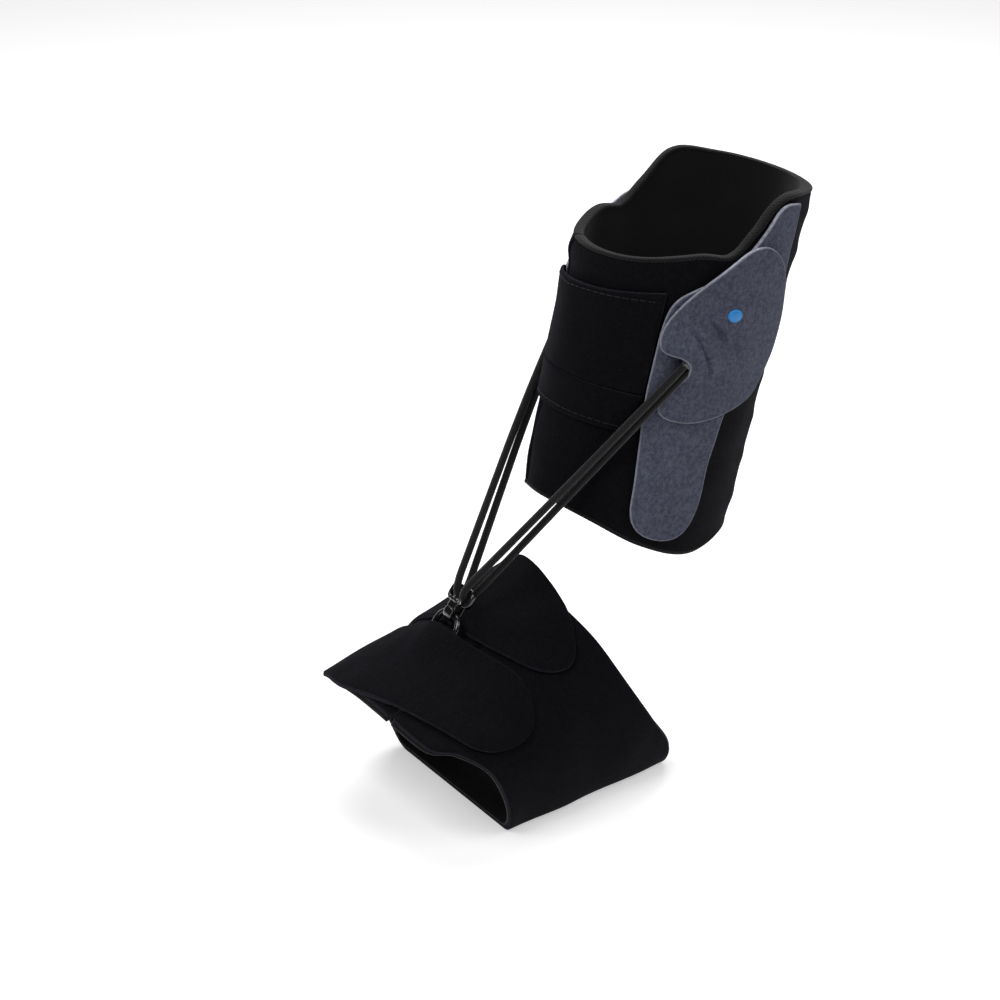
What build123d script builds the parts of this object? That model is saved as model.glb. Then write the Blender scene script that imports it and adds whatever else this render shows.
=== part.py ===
from build123d import *
import math
import os

# Soft drop-foot ankle foot orthosis for a left foot, in millimetres.
# A padded cuff goes round the leg above the ankle and a wrap goes round the midfoot.
# Two elastic cords run from wings on the cuff to a snap hook, which holds a ring on the wrap.
# +X points to the toes, +Y to the outer (lateral) side, +Z up. The origin is the ankle joint.

# ---- wearer's leg, as the ellipse that the cuff is shaped on ----
LEAN = 14.0                 # degrees that the shin leans back from vertical
SHIN_DEPTH = 39.5           # front-to-back half axis at the reference height
SHIN_WIDTH = 31.0           # side-to-side half axis at the reference height
SHIN_REF = 30.0             # reference height along the shin
SHIN_DEPTH_TAPER = 0.012    # growth of each half axis per mm of height
SHIN_WIDTH_TAPER = 0.03

# ---- wearer's foot, as the section that the wrap is shaped on ----
FLOOR = -77.0               # height of the sole of the foot
RIDGE_REF = 37.0            # station where the ridge of the instep is measured
RIDGE_HEIGHT = 75.0         # ridge height above the sole there
RIDGE_SLOPE = 0.42          # fall of the ridge per mm towards the toes
RIDGE_Y = -6.0              # the ridge lies a little to the inner side
OUTER_WIDTH = 38.0          # half width to the outer side at the ankle
OUTER_TAPER = 0.13
INNER_WIDTH = 36.0          # half width to the inner side at the ankle
INNER_TAPER = 0.06
SIDE_HEIGHT = 24.0          # height of the widest point above the sole
SOLE_CORNER = 8.0           # half-ellipse width of the sole's corners

# ---- sheet thicknesses and the small gaps between them ----
SKIN_GAP = 0.4              # sock to lining
SEAM = 0.1                  # between two sheets that are sewn or pressed together
CLEAR = 0.3                 # between two pieces that move apart
LINING = 1.2
CUFF = 2.4
BAND = 2.2
STRAP = 1.3
PAD = 0.5
WING = 1.3
WING_PAD = 0.5

# ---- cuff outline ----
CUFF_FRONT_TOP = 126.5
CUFF_SIDE_TOP = 134.0
CUFF_BACK_TOP = 161.0
CUFF_FRONT_BOTTOM = 27.5
CUFF_SIDE_BOTTOM = 16.0
CUFF_BACK_BOTTOM = 27.0
SLIT = 1.6                  # closing slit of cuff and wrap, bridged by the straps
CUFF_SLIT_V = -13.0         # the cuff's slit, to the inner side of the shin
CUFF_STRAP_SPLIT = -7.0     # where each cuff strap starts to peel
UPPER_TAB_END = -27.0       # free ends of the cuff straps, short of the inner wing and cord
LOWER_TAB_END = -22.0
STRAP_ROOT = 28.7           # straps are sewn in just ahead of the wings
UPPER_STRAP_LOW = 78.0
UPPER_STRAP_HIGH = 112.5
UPPER_STRAP_RISE = 5.0      # the top edge rises towards the outer side
LOWER_STRAP_LOW = 62.0
STRAP_SPACING = 0.4
TAB_GAP = 0.4               # split between strap and tab
SOLE_PRESS = 0.05           # how far the wrap is pressed flat under the sole
TAB_ROUND = 14.0            # corner radius of a tab's free end
TAB_INSET = 2.5             # hook pad's border inside its tab

# ---- foot wrap straps, seen from above ----
FOOT_SLIT_Y = 13.0
FOOT_STRAP_SPLIT = 8.0
FOOT_STRAP_ROOT = -38.0     # straps are sewn in on the inner side

# ---- cords, ring and hook ----
CORD = 3.0
CORD_GAP = 0.2              # between the two strands of one side
CORD_ANGLE = 69.0           # place of the cord's exit round the shin
CORD_HEIGHT = 92.0
CROSSING_ANGLE = 50.0       # where the cord passes over the lower strap
CROSSING_HEIGHT = 66.0
HARDWARE_Y = -2.0
RING_STATION = 78.0
RING_WIRE = 2.4
RING_HALF_WIDTH = 7.0
RING_LENGTH = 8.5
RING_PULL = 55.0            # degrees above horizontal that ring and hook lie along
WEB = 1.1                   # thickness of the webbing that holds the ring
WEB_TAIL = 2.0
HOOK_PLATE = 2.6
HOOK_SIDE = 1.8
EYE_BAR = 2.6
JAW_WIDTH = 5.0
JAW_WALL = 1.5
JAW_PLAY = 0.4
MOUTH = 3.0
GATE = 1.0
GATE_PIN = 1.0
CORD_RISE = 1.5             # cord above what it passes over
CORD_PARTING = 1.3          # middle of the eye to the near side of each cord
EYE_ROOM = 1.4              # far side of each cord to the cheek of the eye
EYE_PLAY = 0.2              # cord to eye bar
ANCHOR_LENGTH = 6.0
ANCHOR_WIDTH = 8.0
DOT = 5.0

# ---- worked-out values: distance of each sheet from the sock ----
LINING_OUT = SKIN_GAP + LINING
CUFF_IN = LINING_OUT + SEAM
CUFF_OUT = CUFF_IN + CUFF
BAND_IN = LINING_OUT + SEAM
BAND_OUT = BAND_IN + BAND
STRAP_OUT = CUFF_OUT + CLEAR + PAD + SEAM + STRAP
FOOT_STRAP_OUT = BAND_OUT + CLEAR + PAD + SEAM + STRAP
WING_PAD_OUT = CUFF_OUT + SEAM + WING_PAD
WING_BASE_OUT = WING_PAD_OUT + SEAM + WING
WING_TOP_IN = WING_BASE_OUT + SEAM
WING_TOP_OUT = WING_TOP_IN + WING
LOWER_STRAP_HIGH = UPPER_STRAP_LOW - STRAP_SPACING
EYE_SHIFT = CORD_PARTING + CORD / 2
HOOK_HALF_WIDTH = EYE_SHIFT + CORD / 2 + EYE_ROOM + HOOK_SIDE
JAW = RING_WIRE / 2 + JAW_PLAY
EYE_DISTANCE = JAW + MOUTH + JAW_WALL + CORD + EYE_BAR / 2 + EYE_PLAY   # ring top bar to eye bar
TALL = 200.0                # longer than any piece, for cutting tools
BELOW_CUFF = -20.0
LEG = Rot(0, -LEAN, 0)


def shin_axes(height, out):
    rise = height - SHIN_REF
    return SHIN_DEPTH + SHIN_DEPTH_TAPER * rise + out, SHIN_WIDTH + SHIN_WIDTH_TAPER * rise + out


def shin_point(angle, height, out):
    """Point in the leg's own frame, at an angle round the shin from its front."""
    depth, width = shin_axes(height, out)
    turn = math.radians(angle)
    return Vector(depth * math.cos(turn), width * math.sin(turn), height)


def shin_solid(out, reach=0.0):
    ends = []
    for height in (BELOW_CUFF - reach, TALL + reach):
        ends.append(Pos(0, 0, height) * Ellipse(*shin_axes(height, out)))
    return loft(ends, ruled=True)


def shin_layer(inner, outer):
    return shin_solid(outer) - shin_solid(inner, reach=5.0)


def foot_section(station, out):
    """Flat sole, two sole corners and two quarter ellipses that meet at the ridge."""
    top = RIDGE_HEIGHT - RIDGE_SLOPE * (station - RIDGE_REF)
    outer = OUTER_WIDTH + OUTER_TAPER * station
    inner = INNER_WIDTH + INNER_TAPER * station
    rise = top - SIDE_HEIGHT + out
    drop = SIDE_HEIGHT + out
    corner = SOLE_CORNER + out
    quarters = [
        EllipticalCenterArc((outer - SOLE_CORNER, SIDE_HEIGHT), corner, drop, 270, arc_size=90),
        EllipticalCenterArc((RIDGE_Y, SIDE_HEIGHT), outer - RIDGE_Y + out, rise, 0, arc_size=90),
        EllipticalCenterArc((RIDGE_Y, SIDE_HEIGHT), inner + RIDGE_Y + out, rise, 90, arc_size=90),
        EllipticalCenterArc((SOLE_CORNER - inner, SIDE_HEIGHT), corner, drop, 180, arc_size=90),
    ]
    sole = Line((SOLE_CORNER - inner, -out), (outer - SOLE_CORNER, -out))
    plane = Plane(origin=(station, 0, FLOOR), x_dir=(0, 1, 0), z_dir=(1, 0, 0))
    return plane * make_face([*quarters, sole])


def foot_solid(out, reach=0.0):
    return loft([foot_section(-25 - reach, out), foot_section(140 + reach, out)], ruled=True)


def foot_layer(inner, outer):
    return foot_solid(outer) - foot_solid(inner, reach=5.0)


def foot_top(station, y, out):
    """Height of a foot layer's surface, on the outer half of the ridge."""
    top = RIDGE_HEIGHT - RIDGE_SLOPE * (station - RIDGE_REF)
    half = OUTER_WIDTH + OUTER_TAPER * station - RIDGE_Y + out
    return FLOOR + SIDE_HEIGHT + (top - SIDE_HEIGHT + out) * math.sqrt(1 - ((y - RIDGE_Y) / half) ** 2)


def face_of(points, radii):
    return make_face(FilletPolyline(*points, radius=radii, close=True))


def side_prism(face, low=-TALL, high=TALL):
    """Outline drawn in X and Z, extruded along Y from low to high."""
    return Pos(0, high, 0) * extrude(Plane.XZ * face, high - low)


def front_prism(face):
    """Outline drawn in Y and Z, extruded forwards from the leg's axis."""
    return extrude(Plane.YZ * face, TALL)


def box_between(low, high):
    size = [b - a for a, b in zip(low, high)]
    return Pos(*low) * Box(*size, align=(Align.MIN, Align.MIN, Align.MIN))


# ---- cuff ----
def cuff_profile():
    """Side view of the cuff: level front rim, then a rise to the high back."""
    top = Spline((60, CUFF_FRONT_TOP), (43, CUFF_FRONT_TOP), (19, CUFF_SIDE_TOP),
                 (6, CUFF_SIDE_TOP + 1.5), (-3, CUFF_SIDE_TOP + 12), (-13, CUFF_BACK_TOP - 2),
                 (-30, CUFF_BACK_TOP), (-60, CUFF_BACK_TOP))
    bottom = Spline((60, CUFF_FRONT_BOTTOM), (43, CUFF_FRONT_BOTTOM), (15, CUFF_SIDE_BOTTOM + 2),
                    (-10, CUFF_SIDE_BOTTOM - 1), (-34, CUFF_SIDE_BOTTOM + 6), (-60, CUFF_BACK_BOTTOM))
    return make_face([top, bottom, Line(top @ 0, bottom @ 0), Line(top @ 1, bottom @ 1)])


def cuff_parts():
    profile = side_prism(cuff_profile())
    slit = box_between((0, CUFF_SLIT_V - SLIT / 2, BELOW_CUFF), (TALL, CUFF_SLIT_V + SLIT / 2, TALL))
    return {
        "cuff_lining": shin_layer(SKIN_GAP, LINING_OUT) & profile - slit,
        "cuff_shell": shin_layer(CUFF_IN, CUFF_OUT) & profile - slit,
    }


def cuff_strap(low, high, rise, end, name):
    """One closing strap: sewn to the cuff on the outer side, with a tab that peels open."""
    pad_in = CUFF_OUT + CLEAR
    split = CUFF_STRAP_SPLIT
    round_end = min(TAB_ROUND, 0.45 * (high - low))
    body_face = make_face(Polyline((split, low), (60, low), (60, high + rise * 2), (0, high), (split, high),
                                   close=True))
    tab_face = face_of([(split - TAB_GAP, low), (end, low), (end, high), (split - TAB_GAP, high)],
                       [0.0, round_end, round_end, 0.0])
    pad_face = offset(tab_face, -TAB_INSET)
    root = box_between((STRAP_ROOT, -TALL, BELOW_CUFF), (TALL, TALL, TALL))
    return {
        name: shin_layer(CUFF_OUT + SEAM, STRAP_OUT) & front_prism(body_face) & root,
        name + "_tab": shin_layer(pad_in + PAD + SEAM, STRAP_OUT) & front_prism(tab_face),
        name + "_hook_pad": shin_layer(pad_in, pad_in + PAD) & front_prism(pad_face),
    }


def cuff_strap_hinge(height):
    """Point on the peel line of a cuff strap, on its outer surface, in the leg's frame."""
    depth, width = shin_axes(height, STRAP_OUT)
    v = CUFF_STRAP_SPLIT - TAB_GAP / 2
    return Vector(depth * math.sqrt(1 - (v / width) ** 2) + SEAM, v, height)


# ---- wings: a base with a long tongue, and a top patch that takes the cord ----
WING_BASE_OUTLINE = [(28, 106), (28, 76), (23, 33), (14, 21), (-1, 21), (-5.5, 35), (-6, 76), (-22, 96),
                     (-24, 140), (-22, 159), (-11, 158), (-3, 143), (11, 126), (21, 120)]
WING_BASE_RADII = [6, 20, 12, 8, 8, 10, 6, 20, 20, 3, 3, 20, 20, 8]
WING_TOP_OUTLINE = [(28.2, 107), (28.2, 99), (16, 98.5), (14.5, 88), (20.5, 76.5), (20, 70), (0, 69),
                    (-27, 86), (-28, 113), (-19, 138), (-2, 141), (20, 120)]
WING_TOP_RADII = [5, 3, 1, 1, 3, 6, 14, 14, 14, 8, 8, 12]


def wing_parts(anchor_room):
    base = side_prism(face_of(WING_BASE_OUTLINE, WING_BASE_RADII), low=0)
    top = side_prism(face_of(WING_TOP_OUTLINE, WING_TOP_RADII), low=0)
    pad = side_prism(offset(face_of(WING_BASE_OUTLINE, WING_BASE_RADII), -TAB_INSET), low=0)
    dot_place = shin_point(88, 114, 0)
    dot = Pos(dot_place.X, 0, dot_place.Z) * Rot(-90, 0, 0) * Cylinder(DOT / 2, TALL, align=(
        Align.CENTER, Align.CENTER, Align.MIN))
    return {
        "wing_hook_pad": shin_layer(CUFF_OUT + SEAM, WING_PAD_OUT) & pad,
        "wing_base": shin_layer(WING_PAD_OUT + SEAM, WING_BASE_OUT) & base,
        "wing_top": shin_layer(WING_TOP_IN, WING_TOP_OUT) & top - anchor_room,
        "marker_dot": shin_layer(WING_TOP_OUT + SEAM, WING_TOP_OUT + SEAM + PAD) & dot,
    }


# ---- foot wrap ----
def band_profile():
    """Side view of the wrap: a wide band that leans forwards over the instep."""
    rear = Spline((40, 10), (38, 0), (31, -12), (20, -33), (8, -53), (-3, -71), (-6, -90))
    front = Spline((77, -90), (79, -76), (84, -60), (91, -46), (101, -38), (111, -36), (116, -20))
    return make_face([rear, front, Line(rear @ 1, front @ 0), Polyline(front @ 1, (116, 10), rear @ 0)])


def wrap_parts():
    profile = side_prism(band_profile())
    slit = box_between((-TALL, FOOT_SLIT_Y - SLIT / 2, FLOOR + SIDE_HEIGHT),
                       (TALL, FOOT_SLIT_Y + SLIT / 2, TALL))
    ground = box_between((-TALL, -TALL, FLOOR - TALL), (TALL, TALL, FLOOR - BAND_OUT + SOLE_PRESS))
    return {
        "foot_lining": foot_layer(SKIN_GAP, LINING_OUT) & profile - slit,
        "foot_band": foot_layer(BAND_IN, BAND_OUT) & profile - slit - ground,
    }


FOOT_TAB_START = FOOT_STRAP_SPLIT + TAB_GAP
REAR_STRAP = [(36, FOOT_STRAP_SPLIT), (34, -8), (31, FOOT_STRAP_ROOT), (74, FOOT_STRAP_ROOT),
              (72.5, FOOT_STRAP_SPLIT)]
REAR_TAB = [(36, FOOT_TAB_START), (36, 24), (45, 36), (59, 33), (69, 20), (72, FOOT_TAB_START)]
REAR_TAB_RADII = [0, 12, 9, 9, 14, 0]
FRONT_STRAP = [(83.6, FOOT_STRAP_SPLIT), (83.6, -12), (81, FOOT_STRAP_ROOT), (124, FOOT_STRAP_ROOT),
               (121, -15), (112.5, FOOT_STRAP_SPLIT)]
FRONT_TAB = [(80, FOOT_TAB_START), (71, 23), (65, 36), (70, 49), (92, 50), (104, 34),
             (112, FOOT_TAB_START)]
FRONT_TAB_RADII = [0, 20, 9, 9, 12, 20, 0]


def foot_strap(body, tab, tab_radii, name):
    """One instep strap: sewn on the inner side, with a tab that peels up on the outer side."""
    pad_in = BAND_OUT + CLEAR
    tab_face = face_of(tab, tab_radii)
    upper_half = Pos(0, 0, FLOOR + SIDE_HEIGHT)
    prism_body = upper_half * extrude(make_face(Polyline(*body, close=True)), TALL)
    prism_tab = upper_half * extrude(tab_face, TALL)
    prism_pad = upper_half * extrude(offset(tab_face, -TAB_INSET), TALL)
    return {
        name: foot_layer(BAND_OUT + SEAM, FOOT_STRAP_OUT) & prism_body,
        name + "_tab": foot_layer(pad_in + PAD + SEAM, FOOT_STRAP_OUT) & prism_tab,
        name + "_hook_pad": foot_layer(pad_in, pad_in + PAD) & prism_pad,
    }


def foot_strap_hinge(station):
    y = FOOT_STRAP_SPLIT + TAB_GAP / 2
    return Vector(station, y, foot_top(station, y, FOOT_STRAP_OUT) + SEAM)


# ---- ring, webbing and snap hook, in a frame with Z along the pull and X across it, forwards ----
def hardware_frame():
    """Base bar of the ring, seated in its webbing on the wrap."""
    slope = math.atan(RIDGE_SLOPE)
    lift = RING_WIRE / 2 + CLEAR + WEB + SEAM
    surface = foot_top(RING_STATION, HARDWARE_Y, BAND_OUT)
    base = Vector(RING_STATION + lift * math.sin(slope), HARDWARE_Y, surface + lift * math.cos(slope))
    pull = math.radians(RING_PULL)
    across = (math.sin(pull), 0, math.cos(pull))
    return Plane(origin=base, x_dir=across, z_dir=(-math.cos(pull), 0, math.sin(pull)))


def ring_parts(frame):
    path = Plane.YZ * FilletPolyline(
        (-RING_HALF_WIDTH, 0), (RING_HALF_WIDTH, 0), (RING_HALF_WIDTH, RING_LENGTH),
        (-RING_HALF_WIDTH, RING_LENGTH), radius=[2.0, 2.0, 5.5, 5.5], close=True)
    start = path.edges().sort_by(Axis.Z)[0]
    section = Plane(origin=start @ 0.5, z_dir=start % 0.5) * Circle(RING_WIRE / 2)
    ring = sweep(section, path=path)
    half = RING_HALF_WIDTH - RING_WIRE / 2 - 2.0
    bore = RING_WIRE / 2 + CLEAR
    slope = math.degrees(math.atan(RIDGE_SLOPE))
    eye = Rot(90, 0, 0) * (Cylinder(bore + WEB, 2 * half) - Cylinder(bore, 3 * half))
    tail = box_between((0, -half, -bore - WEB), (bore + WEB + WEB_TAIL, half, -bore))
    loop = Pos(*frame.origin) * Rot(0, slope, 0) * (eye + (tail - Rot(90, 0, 0) * Cylinder(bore, 3 * half)))
    return {"ring": frame.location * ring, "ring_loop": loop}


def hook_parts(frame):
    jaw = JAW
    seat = RING_LENGTH
    roof = seat + jaw + MOUTH
    eye = seat + EYE_DISTANCE
    cord_room = EYE_BAR / 2 + CORD + EYE_PLAY + CLEAR
    plate = box_between((-HOOK_PLATE / 2, -HOOK_HALF_WIDTH, roof + 0.4),
                        (HOOK_PLATE / 2, HOOK_HALF_WIDTH, eye + EYE_BAR / 2))
    slot_half = HOOK_HALF_WIDTH - HOOK_SIDE
    slot = box_between((-5, -slot_half, eye - cord_room), (5, slot_half, eye + 5))
    bar = Pos(0, 0, eye) * Rot(90, 0, 0) * Cylinder(EYE_BAR / 2, 2 * slot_half + HOOK_SIDE)
    block = box_between((-jaw - JAW_WALL, -JAW_WIDTH / 2, seat), (jaw + JAW_WALL, JAW_WIDTH / 2, roof + JAW_WALL))
    nose = Pos(0, 0, seat) * Rot(90, 0, 0) * Cylinder(jaw + JAW_WALL, JAW_WIDTH)
    hollow = Pos(0, 0, seat) * Rot(90, 0, 0) * Cylinder(jaw, 2 * JAW_WIDTH)
    hollow += box_between((-jaw, -JAW_WIDTH, seat), (jaw, JAW_WIDTH, roof))
    mouth = box_between((0, -JAW_WIDTH, seat + jaw), (9, JAW_WIDTH, roof + JAW_WALL))
    body = plate - slot + bar + (block + nose - hollow - mouth)
    pin_x = jaw + JAW_WALL / 2
    pin_z = roof + JAW_WALL / 2
    half = JAW_WIDTH / 2
    room = Pos(pin_x, 0, pin_z) * Rot(90, 0, 0) * Cylinder(GATE + CLEAR, 2 * JAW_WIDTH)
    ear = Pos(pin_x, 0, pin_z) * Rot(90, 0, 0) * Cylinder(GATE_PIN, HOOK_SIDE)
    ears = box_between((0, half + CLEAR, pin_z - GATE), (pin_x, half + HOOK_SIDE, pin_z + GATE))
    ears = ears + Pos(0, half + CLEAR + (HOOK_SIDE - CLEAR) / 2, 0) * ear
    cheeks = ears + mirror(ears, about=Plane.XZ)
    pin = Pos(pin_x, 0, pin_z) * Rot(90, 0, 0) * Cylinder(GATE_PIN / 2, JAW_WIDTH + 2 * HOOK_SIDE)
    bore = Pos(pin_x, 0, pin_z) * Rot(90, 0, 0) * Cylinder(GATE_PIN / 2 + SEAM, 3 * JAW_WIDTH)
    leaf = box_between((pin_x - GATE / 2, -half, seat + jaw + CLEAR), (pin_x + GATE / 2, half, pin_z))
    gate = leaf + Pos(pin_x, 0, pin_z) * Rot(90, 0, 0) * Cylinder(GATE, JAW_WIDTH) - bore
    body = body - room + cheeks - bore
    place = frame.location
    return {"hook_body": place * body, "hook_gate": place * gate, "gate_pin": place * pin}


# ---- elastic cords ----
def across_cord(direction):
    """Direction in which a cord's two strands lie apart: across the cord, level from side to side."""
    return direction.cross(Vector(0, 1, 0)).normalized()


def cord_points(side, frame):
    """Route of one folded cord: anchor, over the lower strap, round the eye bar and back."""
    exit_out = WING_BASE_OUT + CORD / 2 + CORD_RISE
    crossing_out = STRAP_OUT + CORD / 2 + CORD_RISE
    start = (LEG * Pos(*shin_point(side * CORD_ANGLE, CORD_HEIGHT, exit_out))).position
    cross = (LEG * Pos(*shin_point(side * CROSSING_ANGLE, CROSSING_HEIGHT, crossing_out))).position
    bend = (EYE_BAR + CORD) / 2 + EYE_PLAY
    eye = frame.from_local_coords(Vector(0, side * EYE_SHIFT, RING_LENGTH + EYE_DISTANCE))
    upper = (cross - start).normalized()
    lower = (eye - cross).normalized()
    spread = (CORD + CORD_GAP) / 2
    at_start = across_cord(upper) * spread
    at_cross = across_cord(lower) * spread
    at_eye = across_cord(lower) * bend
    past = eye + lower * bend
    front = [start + at_start, cross + at_cross, past + at_eye]
    back = [past - at_eye, cross - at_cross, start - at_start]
    return front + back, bend


def arc_radii(points, bend):
    """Each arc takes 0.45 of its shorter run, and the two at the eye bar take its size."""
    radii = []
    for before, here, after in zip(points, points[1:], points[2:]):
        turn = math.radians((here - before).get_angle(after - here))
        run = min((here - before).length, (after - here).length)
        radii.append(bend if turn > 1.0 else 0.45 * run / math.tan(turn / 2))
    return radii


def cord_solid(side, frame, name):
    points, bend = cord_points(side, frame)
    radii = arc_radii(points, bend)
    path = FilletPolyline(*points, radius=radii)
    first = points[1] - points[0]
    tube = sweep(Plane(origin=points[0], z_dir=first) * Circle(CORD / 2), path=path)
    wanted = math.pi * (CORD / 2) ** 2 * path.length
    print(name, "length", round(path.length, 1), "radii", [round(r, 1) for r in radii],
          "volume ratio", round(tube.volume / wanted, 4))
    print(name, "route", [tuple(round(c, 2) for c in p) for p in points])
    return tube


def cord_anchor(side, frame, grow=0.0):
    """Clamp that both ends of a cord butt against, in the notch of the wing's top patch."""
    points, _ = cord_points(side, frame)
    apart = (points[0] - points[-1]).normalized()
    along = (points[1] + points[-2] - points[0] - points[-1]).normalized()
    middle = (points[0] + points[-1]) * 0.5 - along * (SEAM - grow)
    plane = Plane(origin=middle, x_dir=apart, z_dir=along * -1)
    size = (ANCHOR_WIDTH + 2 * grow, CORD + 2 * grow, ANCHOR_LENGTH + 2 * grow)
    return plane.location * Box(*size, align=(Align.CENTER, Align.CENTER, Align.MIN))


def main():
    frame = hardware_frame()
    leg_parts = {**cuff_parts(),
                 **cuff_strap(UPPER_STRAP_LOW, UPPER_STRAP_HIGH, UPPER_STRAP_RISE,
                              UPPER_TAB_END, "upper_strap"),
                 **cuff_strap(LOWER_STRAP_LOW, LOWER_STRAP_HIGH, 0.0, LOWER_TAB_END,
                              "lower_strap")}
    parts = {name: LEG * shape for name, shape in leg_parts.items()}
    outer_room = LEG.inverse() * cord_anchor(1, frame, grow=CLEAR)
    inner_room = mirror(LEG.inverse() * cord_anchor(-1, frame, grow=CLEAR), about=Plane.XZ)
    for name, shape in wing_parts(outer_room).items():
        parts["lateral_" + name] = LEG * shape
    for name, shape in wing_parts(inner_room).items():
        parts["medial_" + name] = LEG * mirror(shape, about=Plane.XZ)
    parts.update(wrap_parts())
    parts.update(foot_strap(REAR_STRAP, REAR_TAB, REAR_TAB_RADII, "rear_strap"))
    parts.update(foot_strap(FRONT_STRAP, FRONT_TAB, FRONT_TAB_RADII, "front_strap"))
    parts.update(ring_parts(frame))
    parts.update(hook_parts(frame))
    for side, word in ((1, "lateral"), (-1, "medial")):
        parts[word + "_cord_anchor"] = cord_anchor(side, frame)
        parts[word + "_cord"] = cord_solid(side, frame, word + "_cord")
    os.makedirs("parts", exist_ok=True)
    for name, shape in parts.items():
        export_step(shape, "parts/" + name + ".step")
    for label, height in (("upper_strap", 95.0), ("lower_strap", 70.0)):
        hinge = LEG * Pos(*cuff_strap_hinge(height))
        print(label, "hinge", tuple(round(c, 3) for c in hinge.position))
    for label, station in (("rear_strap", 54.0), ("front_strap", 97.0)):
        print(label, "hinge", tuple(round(c, 3) for c in foot_strap_hinge(station)))
    print("ring base", tuple(round(c, 3) for c in frame.origin))
    pin = Vector(JAW + JAW_WALL / 2, 0, RING_LENGTH + JAW + MOUTH + JAW_WALL / 2)
    print("gate pin", tuple(round(c, 3) for c in frame.from_local_coords(pin)))


main()
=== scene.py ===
import math
import random

import bmesh
import bpy
import numpy as np
from mathutils import Matrix, Vector
from mathutils.geometry import delaunay_2d_cdt


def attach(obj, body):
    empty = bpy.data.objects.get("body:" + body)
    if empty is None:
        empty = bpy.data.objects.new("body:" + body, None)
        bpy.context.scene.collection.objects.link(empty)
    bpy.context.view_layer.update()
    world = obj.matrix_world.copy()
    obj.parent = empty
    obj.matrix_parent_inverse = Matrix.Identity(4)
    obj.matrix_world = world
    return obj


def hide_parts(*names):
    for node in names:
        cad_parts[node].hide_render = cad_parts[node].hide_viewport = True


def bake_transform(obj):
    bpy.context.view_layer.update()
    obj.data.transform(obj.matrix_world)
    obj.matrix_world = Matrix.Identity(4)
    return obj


# Looks of a soft ankle foot orthosis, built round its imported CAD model.
# Sheets are drawn flat, in millimetres, and wrapped on the leg or the foot at a height above the sock.
# On the leg a flat point is (angle round the shin from its front, height along the shin).
# On the foot it is (station along the foot, distance round it from the ridge, outer side positive).

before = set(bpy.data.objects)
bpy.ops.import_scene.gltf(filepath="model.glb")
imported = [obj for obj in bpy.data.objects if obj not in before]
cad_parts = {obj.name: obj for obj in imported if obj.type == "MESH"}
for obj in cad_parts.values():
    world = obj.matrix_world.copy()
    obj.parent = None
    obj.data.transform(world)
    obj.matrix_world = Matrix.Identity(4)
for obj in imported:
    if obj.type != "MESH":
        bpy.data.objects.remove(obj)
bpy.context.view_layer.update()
MM = 0.001

# ---- the leg and foot that the CAD model is shaped on ----
LEAN = math.radians(14.0)
SHIN_DEPTH, SHIN_WIDTH, SHIN_REF = 39.5, 31.0, 30.0
DEPTH_TAPER, WIDTH_TAPER = 0.012, 0.03
FLOOR, RIDGE_REF, RIDGE_HEIGHT, RIDGE_SLOPE, RIDGE_Y = -77.0, 37.0, 75.0, 0.42, -6.0
OUTER_WIDTH, OUTER_TAPER, INNER_WIDTH, INNER_TAPER = 38.0, 0.13, 36.0, 0.06
SIDE_HEIGHT, SOLE_CORNER = 24.0, 8.0

# ---- heights of the layers above the sock, as in the CAD model ----
LINING = (0.4, 1.6)
CUFF = (1.7, 4.1)
STRAP = (4.3, 6.3)
WING_PAD = (4.2, 4.7)
WING_BASE = (4.8, 6.1)
WING_TOP = (6.2, 7.5)
BAND = (1.7, 3.9)
FOOT_STRAP = (4.1, 6.1)
CUFF_TAB_PAD = (4.4, 4.9)
FOOT_TAB_PAD = (4.2, 4.7)
TAB_THINNING = 0.65         # how far a tab's inner face stands back, for its hook patch

DEGREE_MM = 0.66            # width on the cuff of one degree round the shin
UPPER_ARC = 66.0            # flat length of each quarter from ridge to side
CORNER_ARC = 28.0           # and from side to sole
SOLE_ARC = 34.0             # and from the sole's edge to its middle
ROUND = UPPER_ARC + CORNER_ARC + SOLE_ARC


# ---------------------------------------------------------------- shapes of leg and foot
def smooth_noise(seed, waves, longest, shortest):
    """A repeatable sum of plane waves over flat points, from -1 to 1."""
    draw = random.Random(seed)
    terms = []
    for _ in range(waves):
        length = math.exp(draw.uniform(math.log(shortest), math.log(longest)))
        turn = draw.uniform(0, 2 * math.pi)
        size = (length / longest) ** 0.6
        terms.append((math.cos(turn) / length, math.sin(turn) / length, draw.uniform(0, 1), size))
    total = math.sqrt(sum(t[3] ** 2 for t in terms) / 2) * 2

    def field(p):
        p = np.asarray(p, float)
        value = 0
        for kx, ky, phase, size in terms:
            value = value + size * np.sin(2 * math.pi * (p[..., 0] * kx + p[..., 1] * ky + phase))
        return value / total
    return field


cuff_swell = smooth_noise(3, 14, 60.0, 16.0)
wrap_swell = smooth_noise(8, 14, 50.0, 14.0)


def leg(p, out):
    """Flat points (width from the front line in mm, height) to the leg's surface, in mm."""
    p = np.asarray(p, float)
    angle = np.radians(p[..., 0] / DEGREE_MM)
    height = p[..., 1]
    rise = height - SHIN_REF
    u = (SHIN_DEPTH + DEPTH_TAPER * rise + out) * np.cos(angle)
    v = (SHIN_WIDTH + WIDTH_TAPER * rise + out) * np.sin(angle)
    x = u * math.cos(LEAN) - height * math.sin(LEAN)
    z = u * math.sin(LEAN) + height * math.cos(LEAN)
    return np.stack([x, v, z], -1)


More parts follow.
